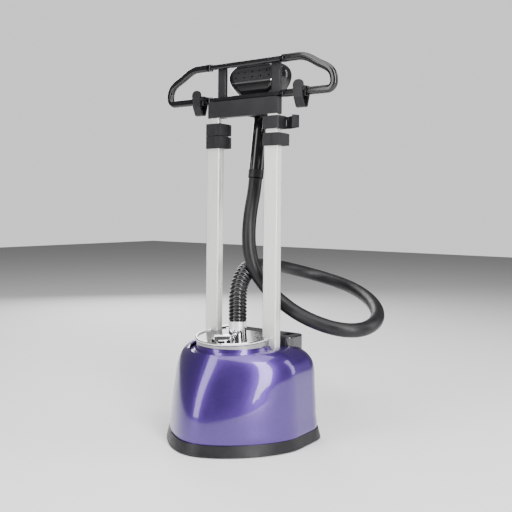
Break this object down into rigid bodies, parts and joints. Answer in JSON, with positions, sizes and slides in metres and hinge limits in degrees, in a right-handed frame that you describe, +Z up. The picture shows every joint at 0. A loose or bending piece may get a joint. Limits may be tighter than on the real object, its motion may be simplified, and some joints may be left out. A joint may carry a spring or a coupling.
{
  "type": "garment steamer",
  "caption": "Upright garment steamer: rounded base with water tank, telescopic twin poles, folding garment hanger with trouser clips, and a steam head on a flexible hose.",
  "frame": {"origin": "centre of the footprint, on the floor under the rubber feet", "axes": "+Z up along the poles, +Y to the back, +X to the right as seen from the front"},
  "size_m": [0.4543, 0.4924, 0.7572],
  "materials": {
    "purple_shell": "pearl metallic gloss",
    "black_plastic": "fine satin mould texture",
    "black_gloss": "polished",
    "chrome": "polished plating",
    "dark_chrome": "smoked plating",
    "pole_metal": "satin anodised",
    "smoked_tank": "clear smoked",
    "hose_cover": "matt cover",
    "foot_rubber": "matt",
    "steel": "zinc plated",
    "boiler_metal": "cast",
    "grey_plastic": "moulded",
    "board_green": "lacquered board",
    "white_rubber": "silicone"
  },
  "bodies": {
    "root": {"base_tray": "black_plastic", "rubber_feet": "foot_rubber", "case_screws": "steel", "tank_bay": "black_plastic", "housing_shell": "purple_shell", "neck_cover": "purple_shell", "deck_band": "dark_chrome", "deck_rim": "chrome", "deck_plate": "black_gloss", "rotary_switch": "grey_plastic", "hose_collar": "chrome", "hose_sleeve": "black_gloss", "steam_hose": "hose_cover", "water_pump": "grey_plastic", "water_pipe": "white_rubber", "boiler": "boiler_metal", "heater_coil": "steel", "thermostat": "grey_plastic", "steam_pipe": "white_rubber", "control_board": "board_green", "power_inlet": "black_plastic", "pole_sockets": "grey_plastic", "lower_clamp_collars": "black_plastic", "left_outer_tube": "pole_metal", "right_outer_tube": "pole_metal"},
    "knob": {"control_knob": "chrome"},
    "tank": {"water_tank": "smoked_tank", "tank_lid": "smoked_tank"},
    "cap": {"tank_cap": "grey_plastic"},
    "valve": {"tank_valve": "grey_plastic"},
    "upper_frame": {"left_inner_tube": "pole_metal", "right_inner_tube": "pole_metal", "upper_bar": "black_gloss", "lower_bar": "black_gloss", "hinge_pins": "steel", "bracket": "black_plastic", "posts": "black_plastic", "cradle": "black_plastic"},
    "steam_head": {"head_shell": "black_gloss", "steam_plate": "black_plastic", "plate_trim": "chrome", "steam_duct": "white_rubber", "handle_grip": "black_gloss", "handle_cuff": "black_plastic"},
    "left_mid": {"left_middle_tube": "pole_metal", "left_middle_bush": "grey_plastic", "left_upper_collar": "black_plastic"},
    "left_lower_clamp": {"left_lower_lever": "black_plastic"},
    "left_upper_clamp": {"left_upper_lever": "black_plastic"},
    "left_wing": {"left_wing": "black_gloss"},
    "left_clip": {"left_clip_body": "black_plastic"},
    "left_jaw": {"left_clip_jaw": "black_plastic"},
    "right_mid": {"right_middle_tube": "pole_metal", "right_middle_bush": "grey_plastic", "right_upper_collar": "black_plastic"},
    "right_lower_clamp": {"right_lower_lever": "black_plastic"},
    "right_upper_clamp": {"right_upper_lever": "black_plastic"},
    "right_wing": {"right_wing": "black_gloss"},
    "right_clip": {"right_clip_body": "black_plastic"},
    "right_jaw": {"right_clip_jaw": "black_plastic"}
  },
  "joints": [
    {"name": "pole_raise", "type": "slide", "parent": "root", "child": "upper_frame", "axis": [0, 0, 1], "range_m": [0, 0.7], "deforming": ["steam_hose"]},
    {"name": "left_mid_raise", "type": "slide", "parent": "root", "child": "left_mid", "axis": [0, 0, 1], "range_m": [0, 0.35]},
    {"name": "left_lower_lever_swing", "type": "hinge", "parent": "root", "child": "left_lower_clamp", "pos_m": [-0.0519, 0.0555, 0.59], "axis": [0, 0, 1], "range_deg": [0, 110]},
    {"name": "left_upper_lever_swing", "type": "hinge", "parent": "left_mid", "child": "left_upper_clamp", "pos_m": [-0.0519, 0.0555, 0.6167], "axis": [0, 0, 1], "range_deg": [0, 110]},
    {"name": "left_wing_fold", "type": "hinge", "parent": "upper_frame", "child": "left_wing", "pos_m": [-0.0923, 0.04, 0.715], "axis": [0, 0, -1], "range_deg": [0, 90]},
    {"name": "left_clip_slide", "type": "slide", "parent": "left_wing", "child": "left_clip", "axis": [-1, 0, 0], "range_m": [-0.006, 0.055]},
    {"name": "left_jaw_open", "type": "hinge", "parent": "left_clip", "child": "left_jaw", "pos_m": [-0.1185, 0.0276, 0.684], "axis": [-1, 0, 0], "range_deg": [0, 18], "stiffness_Nm_per_rad": 0.2, "springref_deg": -11.46},
    {"name": "right_mid_raise", "type": "slide", "parent": "root", "child": "right_mid", "axis": [0, 0, 1], "range_m": [0, 0.35]},
    {"name": "right_lower_lever_swing", "type": "hinge", "parent": "root", "child": "right_lower_clamp", "pos_m": [0.0931, 0.0555, 0.59], "axis": [0, 0, 1], "range_deg": [0, 110]},
    {"name": "right_upper_lever_swing", "type": "hinge", "parent": "right_mid", "child": "right_upper_clamp", "pos_m": [0.0931, 0.0555, 0.6242], "axis": [0, 0, 1], "range_deg": [-66, 44]},
    {"name": "right_wing_fold", "type": "hinge", "parent": "upper_frame", "child": "right_wing", "pos_m": [0.0923, 0.04, 0.715], "axis": [0, 0, 1], "range_deg": [0, 90]},
    {"name": "right_clip_slide", "type": "slide", "parent": "right_wing", "child": "right_clip", "axis": [1, 0, 0], "range_m": [-0.022, 0.04]},
    {"name": "right_jaw_open", "type": "hinge", "parent": "right_clip", "child": "right_jaw", "pos_m": [0.135, 0.0276, 0.684], "axis": [-1, 0, 0], "range_deg": [0, 18], "stiffness_Nm_per_rad": 0.2, "springref_deg": -11.46},
    {"name": "head_tilt", "type": "hinge", "parent": "upper_frame", "child": "steam_head", "pos_m": [0, 0.077, 0.518], "axis": [-1, 0, 0], "range_deg": [0, 30], "deforming": ["steam_hose"]},
    {"name": "knob_turn", "type": "hinge", "parent": "root", "child": "knob", "pos_m": [0, -0.02787, 0.20093], "axis": [0, -0.0819, 0.9966], "range_deg": [-150, 120]},
    {"name": "tank_lift", "type": "slide", "parent": "root", "child": "tank", "axis": [0, 0, 1], "range_m": [0, 0.08]},
    {"name": "cap_turn", "type": "hinge", "parent": "tank", "child": "cap", "pos_m": [0.045, 0.09, 0.03], "axis": [0, 0, 1], "range_deg": [0, 180]},
    {"name": "valve_press", "type": "slide", "parent": "tank", "child": "valve", "axis": [0, 0, 1], "range_m": [0, 0.004], "stiffness_N_per_m": 60, "springref_m": -0.002}
  ],
  "couplings": [
    {"joint": "left_mid_raise", "follows": "pole_raise", "ratio": 0.5},
    {"joint": "right_mid_raise", "follows": "pole_raise", "ratio": 0.5}
  ]
}
